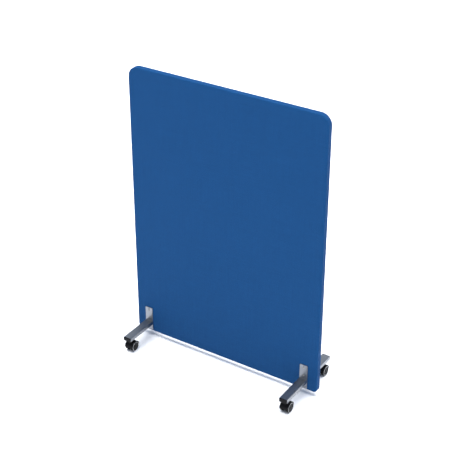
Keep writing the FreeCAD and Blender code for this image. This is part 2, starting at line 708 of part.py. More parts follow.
def make_housing(name, sign, facing, turn):
    """The moulded body of a castor: a web between the wheels, a hood over them and a top boss."""
    body = new_body(f"{name}_housing")
    axle_height = "wheel_radius"
    outline = new_sketch(body, "hood_outline", "YZ_Plane")
    add_circle(outline, "0", axle_height, "hood_radius")
    hood = pad(body, outline, f"2 * {WHEEL_OUTSIDE}", both_ways=True)
    round_edges(body, hood, "hood_edge", has_radius("hood_radius"))
    boss = new_sketch(body, "boss_outline", "XY_Plane", axle_height)
    add_circle(boss, "0", "-castor_trail", "boss_radius")
    pad(body, boss, f"boss_top - {axle_height}")
    lower_half = new_sketch(body, "lower_half", "XZ_Plane")
    reach = "2 * hood_radius"
    add_rectangle(lower_half, f"-{reach}", reach, f"-{reach}", axle_height)
    pocket(body, lower_half, f"2 * ({reach})", both_ways=True)
    for away in (-1, 1):
        well = new_sketch(body, "wheel_well", "YZ_Plane", f"{away} * web_thickness / 2")
        add_circle(well, "0", axle_height, "well_radius")
        pocket(body, well, "wheel_width * 2", backwards=away > 0)
    hub = new_sketch(body, "hub_outline", "YZ_Plane")
    add_circle(hub, "0", axle_height, "web_hub_radius")
    pad(body, hub, "web_thickness", both_ways=True)
    axle_bore = new_sketch(body, "axle_bore", "YZ_Plane")
    add_circle(axle_bore, "0", axle_height, "axle_radius + axle_fit")
    pocket(body, axle_bore, "2 * web_thickness", both_ways=True)
    swivel_bore = new_sketch(body, "swivel_bore", "XY_Plane", "boss_top")
    add_circle(swivel_bore, "0", "-castor_trail", STEM_HOLE)
    pocket(body, swivel_bore, "boss_top - bore_foot")
    place(body, f"{sign} * foot_centre", f"{facing} * {AXLE_REACH}", turn=turn)
    return keep(body)


def make_axle(name, sign, facing):
    """A plain steel pin through both wheels."""
    body = new_body(f"{name}_axle")
    section = new_sketch(body, "axle_section", "YZ_Plane")
    add_circle(section, "0", "0", "axle_radius")
    pad(body, section, f"2 * {AXLE_HALF_LENGTH}", both_ways=True)
    place(body, f"{sign} * foot_centre", f"{facing} * {AXLE_REACH}", "wheel_radius")
    return keep(body)


def make_wheel(name, sign, facing, hand, turn):
    """A moulded wheel, open towards the housing, with a groove for its trim ring."""
    body = new_body(f"{name}_{hand}_wheel")
    inside = "wheel_gap / 2"
    face = f"({WHEEL_OUTSIDE} - wheel_dish)"
    web = f"({face} - wheel_web)"
    axle_hole = "(axle_radius + axle_play)"
    axle_hole_end = f"{WHEEL_OUTSIDE} - axle_end_gap + axle_play"
    groove = f"({WHEEL_OUTSIDE} - ring_depth)"
    profile = new_sketch(body, "wheel_profile", "XZ_Plane")
    add_polygon(profile, (
        (axle_hole_end, "0"),
        (axle_hole_end, axle_hole),
        (inside, axle_hole),
        (inside, "hub_radius"),
        (web, "hub_radius"),
        (web, "rim_inner_radius"),
        (inside, "rim_inner_radius"),
        (inside, "wheel_radius"),
        (WHEEL_OUTSIDE, "wheel_radius"),
        (WHEEL_OUTSIDE, "ring_outer_radius"),
        (groove, "ring_outer_radius"),
        (groove, "ring_inner_radius"),
        (WHEEL_OUTSIDE, "ring_inner_radius"),
        (WHEEL_OUTSIDE, "rim_inner_radius"),
        (face, "rim_inner_radius - wheel_dish"),
        (face, "hub_radius + wheel_dish"),
        (WHEEL_OUTSIDE, "hub_radius"),
        (WHEEL_OUTSIDE, "0"),
    ))
    turned = revolve(body, profile, "X_Axis")
    round_edges(body, turned, "wheel_edge", has_radius("wheel_radius"))
    place(body, f"{sign} * foot_centre", f"{facing} * {AXLE_REACH}", "wheel_radius", turn)
    return keep(body)


def make_ring(name, sign, facing, hand, turn):
    """The pale trim ring pressed into a wheel's outer face."""
    body = new_body(f"{name}_{hand}_ring")
    profile = new_sketch(body, "ring_profile", "XZ_Plane")
    groove = f"({WHEEL_OUTSIDE} - ring_depth)"
    proud = f"({WHEEL_OUTSIDE} + ring_proud)"
    add_rectangle(profile, groove, proud, "ring_inner_radius", "ring_outer_radius")
    revolve(body, profile, "X_Axis")
    place(body, f"{sign} * foot_centre", f"{facing} * {AXLE_REACH}", "wheel_radius", turn)
    return keep(body)


# ---------------------------------------------------------------- the whole object

for side, sign in SIDES:
    make_stile(side, sign)
make_rail("top_rail", BLOCK_INSIDE, f"({FRAME_TOP} - member_width)", FRAME_TOP)
make_rail("mid_rail", STILE_INSIDE, MID_RAIL_LOW, MID_RAIL_HIGH)
make_rail("bottom_rail", STILE_INSIDE, FRAME_BOTTOM, BOTTOM_RAIL_TOP)
make_corner_blocks()
make_foot_blocks()
make_dowels()
make_core("lower_core", mirrored_outline((
    (FOOT_BLOCK_INSIDE, BOTTOM_RAIL_TOP),
    (FOOT_BLOCK_INSIDE, FOOT_BLOCK_TOP),
    (STILE_INSIDE, FOOT_BLOCK_TOP),
    (STILE_INSIDE, MID_RAIL_LOW),
)))
make_core("upper_core", mirrored_outline((
    (STILE_INSIDE, MID_RAIL_HIGH),
    (STILE_INSIDE, BLOCK_LOW),
    (BLOCK_INSIDE, BLOCK_LOW),
    (BLOCK_INSIDE, f"({FRAME_TOP} - member_width)"),
)))
for face, facing in FACES:
    make_padding(face, facing)
    make_cover(face, facing)
for face, facing in FACES:
    for side, sign in SIDES:
        make_plate(side, sign, face, facing)
        make_arm(side, sign, face, facing)
        make_end_cap(side, sign, face, facing)
make_welds()
make_clamp_bolts()
make_sleeve_nuts()
make_rivet_nuts()
for name, sign, facing, turn in castor_places():
    make_stem(name, sign, facing, turn)
    make_housing(name, sign, facing, turn)
    make_axle(name, sign, facing)
    for hand, wheel_turn in (("left", HALF_TURN), ("right", 0)):
        make_wheel(name, sign, facing, hand, wheel_turn)
        make_ring(name, sign, facing, hand, wheel_turn)
doc.recompute()

failed = [thing.Label for thing in doc.Objects if {"Invalid", "Error"} & set(thing.State)]
failed += [piece.Label for piece in nodes if piece.Shape.isNull() or not piece.Shape.isValid()]
if failed:
    sys.exit(f"failed: {failed}")
os.makedirs("parts", exist_ok=True)
for piece in nodes:
    piece.Shape.exportStep(f"parts/{piece.Label}.step")
whole = Part.makeCompound([piece.Shape for piece in nodes]).BoundBox
print(len(nodes), "sub-parts, box", whole)
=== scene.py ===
# %% [markdown]
# # A mobile partition wall
#
# The object is a free-standing screen: one padded panel in a blue woven cover, on two low steel feet
# with twin-wheel castors.  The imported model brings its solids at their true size.  Metal and moulded
# parts keep their solids and get a finish.  Cloth, wadding and welds are made here, because their shape
# is softer or finer than a plain solid.
#
# Everything is in metres.  +Z is up, X runs along the panel, and the front faces -Y.

# %% Load the frame
import json
import math

import bpy
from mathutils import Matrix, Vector, geometry


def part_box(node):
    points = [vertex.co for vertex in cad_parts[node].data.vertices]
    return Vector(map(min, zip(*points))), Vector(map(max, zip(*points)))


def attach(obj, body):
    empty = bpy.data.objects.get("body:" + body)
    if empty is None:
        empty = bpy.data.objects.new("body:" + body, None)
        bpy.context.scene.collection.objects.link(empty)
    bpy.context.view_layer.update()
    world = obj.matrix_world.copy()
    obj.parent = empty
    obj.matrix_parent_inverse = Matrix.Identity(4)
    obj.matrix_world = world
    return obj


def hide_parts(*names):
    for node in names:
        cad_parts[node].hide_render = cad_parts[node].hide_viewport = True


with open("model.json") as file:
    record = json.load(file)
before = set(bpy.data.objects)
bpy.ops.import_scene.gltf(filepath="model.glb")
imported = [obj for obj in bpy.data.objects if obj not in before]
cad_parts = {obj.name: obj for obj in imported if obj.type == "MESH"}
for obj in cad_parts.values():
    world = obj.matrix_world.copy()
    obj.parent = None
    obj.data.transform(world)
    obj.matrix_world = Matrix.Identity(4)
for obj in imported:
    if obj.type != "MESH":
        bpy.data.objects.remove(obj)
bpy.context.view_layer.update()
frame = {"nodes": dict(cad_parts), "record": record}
NODES = frame["nodes"]

# %% [markdown]
# ## Camera, floor and light
#
# The viewpoint is that of a catalogue view: well above the panel, to the right of its front, through a
# long lens.  A long lens keeps the upright edges nearly parallel.
#
# The floor is a wide pale sheet, so it fills the view from every side.  Colours are shown as they are
# measured, with the "Standard" transform.

# %% Camera
camera = bpy.data.objects.new("camera", bpy.data.cameras.new("camera"))
camera.data.lens = 93.93
camera.data.sensor_width = 36
camera.location = (2.4699, -3.8059, 3.3113)
camera.rotation_euler = (math.radians(90 - 29.505), 0, math.radians(33.018))
bpy.context.scene.collection.objects.link(camera)
bpy.context.scene.camera = camera
bpy.context.scene.view_settings.view_transform = "Standard"
print("camera lens:", camera.data.lens, "mm")


# %% A helper that turns lists of points and faces into an object
def new_piece(name, points, faces, smooth=True):
    """A mesh object at the origin, with its place in its mesh."""
    mesh = bpy.data.meshes.new(name)
    mesh.from_pydata(points, [], faces)
    mesh.polygons.foreach_set("use_smooth", [smooth] * len(mesh.polygons))
    piece = bpy.data.objects.new(name, mesh)
    bpy.context.scene.collection.objects.link(piece)
    return piece


# %% Helpers for shader nodes
def new_material(name, colour, **values):
    """A material with its shader's plain values set.  Returns it with its tree and its shader."""
    material = bpy.data.materials.new(name)
    material.use_nodes = True
    tree = material.node_tree
    shader = tree.nodes["Principled BSDF"]
    shader.inputs["Base Color"].default_value = (*colour, 1)
    for socket, number in values.items():
        shader.inputs[socket.replace("_", " ")].default_value = number
    return material, tree, shader


def add_node(tree, kind, feed=None, **settings):
    """A node, with its properties set by name and the sockets in feed linked or given a value."""
    node = tree.nodes.new(kind)
    for name, setting in settings.items():
        setattr(node, name, setting)
    for socket, source in (feed or {}).items():
        if isinstance(source, bpy.types.NodeSocket):
            tree.links.new(source, node.inputs[socket])
        else:
            node.inputs[socket].default_value = source
    return node


def maths(tree, operation, first, second=0.0, third=0.0):
    """The result of one Math node."""
    feed = {0: first, 1: second, 2: third}
    return add_node(tree, "ShaderNodeMath", operation=operation, feed=feed).outputs[0]


# %% Floor
floor = new_piece("studio_floor", [(x, y, 0) for x, y in ((-40, -40), (40, -40), (40, 40), (-40, 40))],
                  [(0, 1, 2, 3)])
floor_paint, floor_tree, floor_shader = new_material("pale_floor", (0.93, 0.93, 0.935), Roughness=0.9)
floor_grain = add_node(floor_tree, "ShaderNodeTexNoise", feed={"Scale": 9.0, "Detail": 3.0})
floor_tone = add_node(floor_tree, "ShaderNodeMapRange", feed={
    "Value": floor_grain.outputs["Fac"], "To Min": 0.86, "To Max": 0.92})
floor_tree.links.new(floor_tone.outputs["Result"], floor_shader.inputs["Roughness"])
floor.data.materials.append(floor_paint)
print("floor:", floor.dimensions.x, "m wide")


# %% [markdown]
# A bright patch of sky straight overhead lights the floor past full white and leaves only a narrow dark
# line under the panel.  The rest of the sky is a dim blue grey: satin metal shows what it reflects, so
# the tubes' tops turn slate and their sides pick up the white floor.  Mirror-like reflections see the
# patch dimmer than the floor does, or the metal would burn out when seen from above.  The camera itself
# sees a pale background wherever the floor ends.

# %% Sky
world = bpy.data.worlds.new("studio")
world.use_nodes = True
sky = world.node_tree
SKY_DIM, SKY_BRIGHT = (0.39, 0.45, 0.56), (7.8, 7.9, 8.1)
SKY_MIRRORED, SKY_PALE = (2.1, 2.2, 2.3), (0.95, 0.95, 0.96)
direction = add_node(sky, "ShaderNodeTexCoord").outputs["Generated"]
upward = add_node(sky, "ShaderNodeSeparateXYZ", feed={0: direction})
patch = add_node(sky, "ShaderNodeMapRange", interpolation_type="SMOOTHSTEP", feed={
    "Value": upward.outputs["Z"], "From Min": 0.80, "From Max": 0.92})
ray = add_node(sky, "ShaderNodeLightPath").outputs
bright = add_node(sky, "ShaderNodeMix", data_type="RGBA", feed={
    0: ray["Is Glossy Ray"], 6: (*SKY_BRIGHT, 1), 7: (*SKY_MIRRORED, 1)})
lit = add_node(sky, "ShaderNodeMix", data_type="RGBA", clamp_factor=True, feed={
    0: patch.outputs["Result"], 6: (*SKY_DIM, 1), 7: bright.outputs[2]})
seen = add_node(sky, "ShaderNodeMix", data_type="RGBA", feed={
    0: ray["Is Camera Ray"], 6: lit.outputs[2], 7: (*SKY_PALE, 1)})
sky.links.new(seen.outputs[2], sky.nodes["Background"].inputs["Color"])
bpy.context.scene.world = world
print("sky nodes:", len(sky.nodes))


# %% Fill light
def soft_light(name, place, target, size, power):
    """A large square area light that looks at a point."""
    lamp = bpy.data.lights.new(name, "AREA")
    lamp.energy = power
    lamp.size = size
    holder = bpy.data.objects.new(name, lamp)
    holder.location = place
    holder.rotation_euler = (Vector(target) - Vector(place)).to_track_quat("-Z", "Y").to_euler()
    bpy.context.scene.collection.objects.link(holder)
    return holder


fill = soft_light("front_fill", (0.6, -5.0, 1.6), (0, 0, 0.6), 2.5, 12)
print("fill light:", fill.data.energy, "W")

# %% [markdown]
# ## The woven cover's finish
#
# The cover is a plain weave in blue: warp threads run up, weft threads run across, and each thread goes
# over one and under the next.  Close up, every thread is a small round ridge, and no two threads have
# quite the same colour.  From a few steps away only a faint mottle is left.
#
# The weave is worked out with arithmetic, from the cloth's own UV map in metres.  The pattern then
# follows the cloth round the panel's edge, as real threads do.  It is a node group with the pitch as an
# input, so the same weave can be made finer or coarser in one place.


# %% Plain weave as a node group
def weave_group():
    """Threads that pass over and under each other.  Puts out their height and two shade masks."""
    tree = bpy.data.node_groups.new("plain_weave", "ShaderNodeTree")
    for name, kind, default in (("Vector", "NodeSocketVector", None), ("Pitch", "NodeSocketFloat", 0.001)):
        socket = tree.interface.new_socket(name, in_out="INPUT", socket_type=kind)
        if default is not None:
            socket.default_value = default
    for name in ("Height", "Threads", "Mottle"):
        tree.interface.new_socket(name, in_out="OUTPUT", socket_type="NodeSocketFloat")
    given = tree.nodes.new("NodeGroupInput")
    result = tree.nodes.new("NodeGroupOutput")
    split = add_node(tree, "ShaderNodeSeparateXYZ", feed={0: given.outputs["Vector"]})
    across = maths(tree, "DIVIDE", split.outputs["X"], given.outputs["Pitch"])
    along = maths(tree, "DIVIDE", split.outputs["Y"], given.outputs["Pitch"])
    ridges = []
    for here, there, lift in ((across, along, 0.5), (along, across, -0.5)):
        ridge = maths(tree, "ABSOLUTE", maths(tree, "SINE", maths(tree, "MULTIPLY", here, math.pi)))
        turn = maths(tree, "ADD", there, maths(tree, "FLOOR", here))
        wave = maths(tree, "COSINE", maths(tree, "MULTIPLY", turn, math.pi))
        ridges.append(maths(tree, "MULTIPLY", ridge, maths(tree, "MULTIPLY_ADD", wave, lift, 0.5)))
    height = maths(tree, "MAXIMUM", ridges[0], ridges[1])
    shades = []
    for stretch in ((1.0, 0.012, 0.0), (0.012, 1.0, 0.0)):
        stretched = add_node(tree, "ShaderNodeVectorMath", operation="MULTIPLY", feed={
            0: given.outputs["Vector"], 1: stretch})
        noise = add_node(tree, "ShaderNodeTexNoise", feed={
            "Vector": stretched.outputs[0], "Scale": 420.0, "Detail": 2.0})
        shades.append(noise.outputs["Fac"])
    threads = maths(tree, "MULTIPLY", maths(tree, "ADD", shades[0], shades[1]), 0.5)
    mottle = add_node(tree, "ShaderNodeTexNoise", feed={
        "Vector": given.outputs["Vector"], "Scale": 38.0, "Detail": 4.0, "Roughness": 0.65})
    tree.links.new(height, result.inputs["Height"])
    tree.links.new(threads, result.inputs["Threads"])
    tree.links.new(mottle.outputs["Fac"], result.inputs["Mottle"])
    return tree


WEAVE = weave_group()
print("weave group outputs:", [socket.name for socket in WEAVE.interface.items_tree])


# %% The cover's cloth
def tone_between(tree, factor, dark, light):
    """A colour between two, by a factor from 0.3 to 0.7, which is a noise texture's usual range."""
    spread = add_node(tree, "ShaderNodeMapRange", feed={"Value": factor, "From Min": 0.3, "From Max": 0.7})
    mix = add_node(tree, "ShaderNodeMix", data_type="RGBA", feed={
        0: spread.outputs["Result"], 6: (*dark, 1), 7: (*light, 1)})
    return mix.outputs[2]


cover_cloth, cloth_tree, cloth_shader = new_material(
    "blue_cover_cloth", (0.02, 0.1, 0.3), Roughness=0.82, Sheen_Weight=0.04, Sheen_Roughness=0.4)
cloth_shader.inputs["Sheen Tint"].default_value = (0.9, 0.95, 1.0, 1)
cloth_shader.inputs["Specular IOR Level"].default_value = 0.08
THREAD_PITCH = 0.0011
cloth_map = add_node(cloth_tree, "ShaderNodeUVMap", uv_map="cloth")
weave = add_node(cloth_tree, "ShaderNodeGroup", node_tree=WEAVE, feed={
    "Vector": cloth_map.outputs["UV"], "Pitch": THREAD_PITCH})
thread_tone = tone_between(
    cloth_tree, weave.outputs["Threads"], (0.0058, 0.0535, 0.160), (0.0088, 0.0655, 0.195))
mottle_tone = tone_between(cloth_tree, weave.outputs["Mottle"], (0.86, 0.88, 0.9), (1, 1, 1))
mottled = add_node(cloth_tree, "ShaderNodeMix", data_type="RGBA", blend_type="MULTIPLY", feed={
    0: 0.5, 6: thread_tone, 7: mottle_tone})
# Painted shade and painted highlight: the base colour is scaled by the weave's height, darker (0.72) in the
# low gaps between threads and a little lighter (1.06) on the thread tops.
painted_gap_shade = add_node(cloth_tree, "ShaderNodeMapRange", feed={
    "Value": weave.outputs["Height"], "From Max": 0.7, "To Min": 0.72, "To Max": 1.06})
shaded = add_node(cloth_tree, "ShaderNodeVectorMath", operation="SCALE", feed={
    0: mottled.outputs[2], "Scale": painted_gap_shade.outputs["Result"]})
cloth_bump = add_node(cloth_tree, "ShaderNodeBump", feed={
    "Height": weave.outputs["Height"], "Distance": 0.00022, "Strength": 0.7})
cloth_tree.links.new(shaded.outputs[0], cloth_shader.inputs["Base Color"])
cloth_tree.links.new(cloth_bump.outputs["Normal"], cloth_shader.inputs["Normal"])
print("cloth:", len(cloth_tree.nodes), "nodes")

# %% [markdown]
# ## The cover and its wadding
#
# The real cover is two pieces of cloth, one for each face.  They are pulled round the panel and sewn
# together along the middle of its edge, so the cloth is smooth and tight, with soft edges and a fine
# seam all the way round.  Under the foot plates the wadding is squeezed, and it swells a little beside
# them.
#
# A simulation would add nothing to a stretched cover, so its shape is worked out: an outline with round
# corners, a profile that turns from the face to the edge and dips into the seam, and a flat face that
# swells near the plates.  The face is filled by a Delaunay triangulation, because that lets the points
# be close together near the plates and far apart elsewhere.

# %% Sizes of the panel, read from the solids
panel_low, panel_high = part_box("front_cover")
HALF_DEPTH = -panel_low.y
HALF_WIDTH = panel_high.x
TOP, BOTTOM = panel_high.z, panel_low.z
TOP_CORNER, BOTTOM_CORNER = 0.050, 0.018
EDGE_ROUND = 0.0048
CLOTH_THICKNESS = 0.001
print("panel in mm:", [round(2000 * HALF_WIDTH), round(2000 * HALF_DEPTH), round(1000 * (TOP - BOTTOM))])


# %% Outline of the panel
def outline(step=0.02, arc_parts=14):
    """Points round the panel's face and their outward directions, anticlockwise as seen from the front."""
    corners = (
        (1, -1, BOTTOM_CORNER, -90), (1, 1, TOP_CORNER, 0),
        (-1, 1, TOP_CORNER, 90), (-1, -1, BOTTOM_CORNER, 180))
    points = []
    for side, end, radius, start in corners:
        centre_x = side * (HALF_WIDTH - radius)
        centre_z = (TOP - radius) if end > 0 else (BOTTOM + radius)
        for part in range(arc_parts + 1):
            angle = math.radians(start + 90 * part / arc_parts)
            out = Vector((math.cos(angle), math.sin(angle)))
            points.append((Vector((centre_x, centre_z)) + out * radius, out))
    dense = []
    for (here, out), (there, next_out) in zip(points, points[1:] + points[:1]):
        parts = max(1, round((there - here).length / step)) if out.dot(next_out) > 0.9999 else 1
        dense += [(here.lerp(there, part / parts), out) for part in range(parts)]
    return dense


OUTLINE = outline()
print("outline:", len(OUTLINE), "points")


# %% Swelling of the wadding beside the plates
PLATES = [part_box(f"front_{side}_plate") for side in ("left", "right")]
SWELL, SWELL_REACH = 0.0007, 0.009


def swell_at(x, z):
    """How far the face stands out: none under a plate, most just beside it."""
    rise = 0.0
    for low, high in PLATES:
        away = math.hypot(max(low.x - x, x - high.x, 0), max(low.z - z, z - high.z, 0))
        if away > 0:
            rise += SWELL * math.exp(-((away / SWELL_REACH - 0.5) ** 2))
    return rise


# %% Profile from face to seam, and the face's own points
def profile(inset, parts=6):
    """(how far in from the outline, how far out from the middle) down the edge to the seam."""
    radius = EDGE_ROUND - inset
    steps = []
    for part in range(parts + 1):
        angle = math.radians(90 * part / parts)
        depth = HALF_DEPTH - inset - radius * (1 - math.cos(angle))
        steps.append((inset + radius * (1 - math.sin(angle)), depth))
    straight = [(inset, depth) for depth in (0.0085, 0.0060, 0.0035, 0.0017)]
    seam = [(inset + 0.00012, 0.0009), (inset + 0.0005, 0.0004), (inset + 0.0012, 0.0002)]
    return steps + straight + seam


COARSE_COLUMNS, COARSE_ROWS = 24, 33
FINE_COLUMNS, FINE_ROWS, FINE_RIM = 29, 40, 0.03
FACE_MARGIN = 0.011


def face_points(margin):
    """Points inside the face: a coarse grid, and a fine one round each plate."""
    spots = []
    reach_x, reach_z = HALF_WIDTH - margin, (TOP - BOTTOM) / 2 - margin
    middle = (TOP + BOTTOM) / 2
    fine = [(low.x - FINE_RIM, high.x + FINE_RIM, BOTTOM + margin, high.z + FINE_RIM) for low, high in PLATES]
    for column in range(1 - COARSE_COLUMNS, COARSE_COLUMNS):
        for row in range(1 - COARSE_ROWS, COARSE_ROWS):
            x, z = column * reach_x / COARSE_COLUMNS, middle + row * reach_z / COARSE_ROWS
            if not any(left < x < right and bottom < z < top for left, right, bottom, top in fine):
                spots.append((x, z))
    for left, right, bottom, top in fine:
        for column in range(FINE_COLUMNS):
            x = left + (right - left) * column / (FINE_COLUMNS - 1)
            for row in range(FINE_ROWS):
                spots.append((x, bottom + (top - bottom) * (row + 0.5) / FINE_ROWS))
    inside = []
    for x, z in spots:
        corner_x = max(abs(x) - (HALF_WIDTH - TOP_CORNER), 0)
        corner_z = max(z - (TOP - TOP_CORNER), 0)
        if abs(x) < reach_x and math.hypot(corner_x, corner_z) < TOP_CORNER - margin and z > BOTTOM + margin:
            inside.append((x, z))
    return inside


FACE_POINTS = face_points(FACE_MARGIN)
print("points inside the face:", len(FACE_POINTS))


# %% Build one half of the cover or of the wadding
def half_layer(name, facing, inset):
    """Face, rounded edge and seam dip of one half, with a UV map in metres that follows the cloth."""
    rings = profile(inset)
    count = len(OUTLINE)
    points, cloth = [], []
    travelled = 0.0
    for index, (inward, depth) in enumerate(rings):
        if index:
            before = rings[index - 1]
            travelled += math.hypot(inward - before[0], depth - before[1])
        for spot, out in OUTLINE:
            place = spot - out * inward
            points.append((place.x, facing * depth, place.y))
            flat = spot - out * (rings[0][0] - travelled)
            cloth.append((flat.x, flat.y))
    edge = [Vector((x, z)) for x, y, z in points[:count]]
    inner = [Vector(spot) for spot in FACE_POINTS]
    loop = [(index, (index + 1) % count) for index in range(count)]
    spots, _, triangles, origins, _, _ = geometry.delaunay_2d_cdt(edge + inner, loop, [], 1, 1e-7)
    number = {}
    for index, (spot, sources) in enumerate(zip(spots, origins)):
        if sources and sources[0] < count:
            number[index] = sources[0]
            continue
        number[index] = len(points)
        rise = swell_at(spot.x, spot.y)
        points.append((spot.x, facing * (HALF_DEPTH - inset + rise), spot.y))
        cloth.append((spot.x, spot.y))
    faces = [tuple(number[corner] for corner in triangle) for triangle in triangles]
    for ring in range(len(rings) - 1):
        for index, following in loop:
            start = ring * count
            faces.append((start + index, start + count + index, start + count + following, start + following))
    if facing > 0:
        faces = [face[::-1] for face in faces]
    piece = new_piece(name, points, faces)
    layer = piece.data.uv_layers.new(name="cloth")
    for corner in piece.data.loops:
        layer.data[corner.index].uv = cloth[corner.vertex_index]
    return piece


def thicken(piece, thickness):
    """Give a sheet its thickness, inwards."""
    wall = piece.modifiers.new("thickness", "SOLIDIFY")
    wall.thickness = thickness
    wall.offset = -1


# %% Both halves of the cover, and the wadding under them
wadding_fleece, fleece_tree, fleece_shader = new_material(
    "wadding_fleece", (0.75, 0.75, 0.72), Roughness=0.95)
fibres = add_node(fleece_tree, "ShaderNodeTexNoise", feed={
    "Vector": add_node(fleece_tree, "ShaderNodeTexCoord").outputs["Object"],
    "Scale": 700.0, "Detail": 5.0}).outputs["Fac"]
fleece_tone = tone_between(fleece_tree, fibres, (0.66, 0.66, 0.63), (0.82, 0.82, 0.79))
fleece_bump = add_node(fleece_tree, "ShaderNodeBump", feed={"Height": fibres, "Distance": 0.0006})
fleece_tree.links.new(fleece_tone, fleece_shader.inputs["Base Color"])
fleece_tree.links.new(fleece_bump.outputs["Normal"], fleece_shader.inputs["Normal"])

WADDING_WALL, CLOTH_WALL = 0.003, 0.0008
for face, facing in (("front", -1), ("back", 1)):
    wadding = half_layer(f"{face}_wadding", facing, CLOTH_THICKNESS)
    wadding.data.materials.append(wadding_fleece)
    thicken(wadding, WADDING_WALL)
    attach(wadding, "screen")
    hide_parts(f"{face}_padding")
    cloth = half_layer(f"{face}_cover_cloth", facing, 0.0)
    cloth.data.materials.append(cover_cloth)
    thicken(cloth, CLOTH_WALL)
    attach(cloth, "screen")
    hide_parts(f"{face}_cover")
    print(cloth.name, len(cloth.data.polygons), "faces")

# %% [markdown]
# ## Metal and moulded plastic
#
# The plates and tubes are steel with a satin silver coat, which has a faint grain along its length.  The
# bolts and nuts are zinc plated.  Castors and end caps are moulded in black plastic with a fine
# spark-eroded grain.
#
# Shared effects, such as fine lines along one direction and a fine pebble grain, are node groups that put out
# one value each, used both as a height and as a mask.


# %% Grain groups
def grain_group(name, stretch, scale, detail):
    """Noise stretched along an axis.  Puts out a value that varies round one half."""
    tree = bpy.data.node_groups.new(name, "ShaderNodeTree")
    tree.interface.new_socket("Vector", in_out="INPUT", socket_type="NodeSocketVector")
    tree.interface.new_socket("Value", in_out="OUTPUT", socket_type="NodeSocketFloat")
    given = tree.nodes.new("NodeGroupInput")
    result = tree.nodes.new("NodeGroupOutput")
    stretched = add_node(tree, "ShaderNodeVectorMath", operation="MULTIPLY", feed={
        0: given.outputs["Vector"], 1: stretch})
    noise = add_node(tree, "ShaderNodeTexNoise", feed={
        "Vector": stretched.outputs[0], "Scale": scale, "Detail": detail})
    tree.links.new(noise.outputs["Fac"], result.inputs["Value"])
    return tree


LINES_UP = grain_group("lines_up", (1.0, 1.0, 0.02), 900.0, 3.0)
LINES_OUT = grain_group("lines_out", (1.0, 0.02, 1.0), 900.0, 3.0)
PEBBLE = grain_group("pebble", (1.0, 1.0, 1.0), 1500.0, 2.0)
SMUDGE = grain_group("smudge", (1.0, 1.0, 1.0), 45.0, 5.0)
WOOD_GRAIN_UP = grain_group("wood_grain_up", (1.0, 1.0, 0.03), 160.0, 6.0)
WOOD_GRAIN_ACROSS = grain_group("wood_grain_across", (0.03, 1.0, 1.0), 160.0, 6.0)
print("grain groups:", [group.name for group in bpy.data.node_groups])


# %% A finish from two tones, a grain and a smudge
def finish(name, dark, light, grain, bump, rough, **values):
    """A material whose colour, gloss and surface follow a grain group."""
    material, tree, shader = new_material(name, light, **values)
    spot = add_node(tree, "ShaderNodeTexCoord").outputs["Object"]
    lines = add_node(tree, "ShaderNodeGroup", node_tree=grain, feed={"Vector": spot}).outputs["Value"]
    smears = add_node(tree, "ShaderNodeGroup", node_tree=SMUDGE, feed={"Vector": spot}).outputs["Value"]
    gloss = add_node(tree, "ShaderNodeMapRange", feed={
        "Value": smears, "From Min": 0.3, "From Max": 0.7, "To Min": rough[0], "To Max": rough[1]})
    relief = add_node(tree, "ShaderNodeBump", feed={"Height": lines, "Distance": bump})
    tree.links.new(tone_between(tree, lines, dark, light), shader.inputs["Base Color"])
    tree.links.new(gloss.outputs["Result"], shader.inputs["Roughness"])
    tree.links.new(relief.outputs["Normal"], shader.inputs["Normal"])
    return material


FINISHES = {
    "plate_steel": finish("satin_plate", (0.225, 0.238, 0.262), (0.275, 0.288, 0.315), LINES_UP, 0.00003,
                          (0.30, 0.40), Metallic=1.0),
    "tube_steel": finish("satin_tube", (0.225, 0.237, 0.252), (0.275, 0.287, 0.303), LINES_OUT, 0.00003,
                         (0.33, 0.43), Metallic=1.0),
    "zinc_steel": finish("zinc_plate", (0.26, 0.27, 0.27), (0.36, 0.36, 0.35), PEBBLE, 0.00002,
                         (0.25, 0.40), Metallic=1.0),
    "black_plastic": finish("moulded_black", (0.002, 0.002, 0.0025), (0.005, 0.005, 0.0055), PEBBLE, 0.00008,
                            (0.34, 0.46), Specular_IOR_Level=0.1),
    "wheel_plastic": finish("wheel_black", (0.0015, 0.0015, 0.002), (0.0035, 0.0035, 0.004), PEBBLE, 0.00005,
                            (0.28, 0.40), Specular_IOR_Level=0.1),
    "ring_plastic": finish("ring_grey", (0.34, 0.34, 0.35), (0.42, 0.42, 0.43), PEBBLE, 0.00003, (0.3, 0.4)),
    "timber": finish("planed_timber", (0.42, 0.27, 0.14), (0.64, 0.45, 0.26), WOOD_GRAIN_UP, 0.0002,
                     (0.55, 0.7)),
    "beech": finish("turned_beech", (0.55, 0.36, 0.20), (0.70, 0.50, 0.32), WOOD_GRAIN_ACROSS, 0.0001,
                    (0.5, 0.6)),
    "softboard": finish("fibre_board", (0.30, 0.23, 0.15), (0.52, 0.43, 0.31), PEBBLE, 0.0003, (0.85, 0.95)),
}
print("finishes:", sorted(FINISHES))

# %% Give every kept solid its finish
kept = 0
for subpart in frame["record"]["subparts"]:
    look = FINISHES.get(subpart["material_slot"])
    if look is None:
        continue
    mesh = NODES[subpart["node"]].data
    mesh.materials.clear()
    mesh.materials.append(look)
    kept += 1
print("solids with a finish:", kept)

# %% [markdown]
# ## Stitches and weld beads
#
# The two halves of the cover are sewn edge to edge.  Each stitch is a short piece of thread that crosses
# the seam at a slant and dives into the cloth at both ends.  There are more than a thousand, all alike.
#
# Each arm is welded to its plate above and below.  A weld is laid drop by drop, and every drop leaves a
# small round ripple, so a bead looks like a row of coins pushed over.
#
# Both are a small shape repeated along a line, which is what Geometry Nodes do best.  A tree takes the
# line, puts points on it at one pitch and sets the shape on each point.  The result is kept as a plain
# mesh, because a mesh is all that other programs can read.


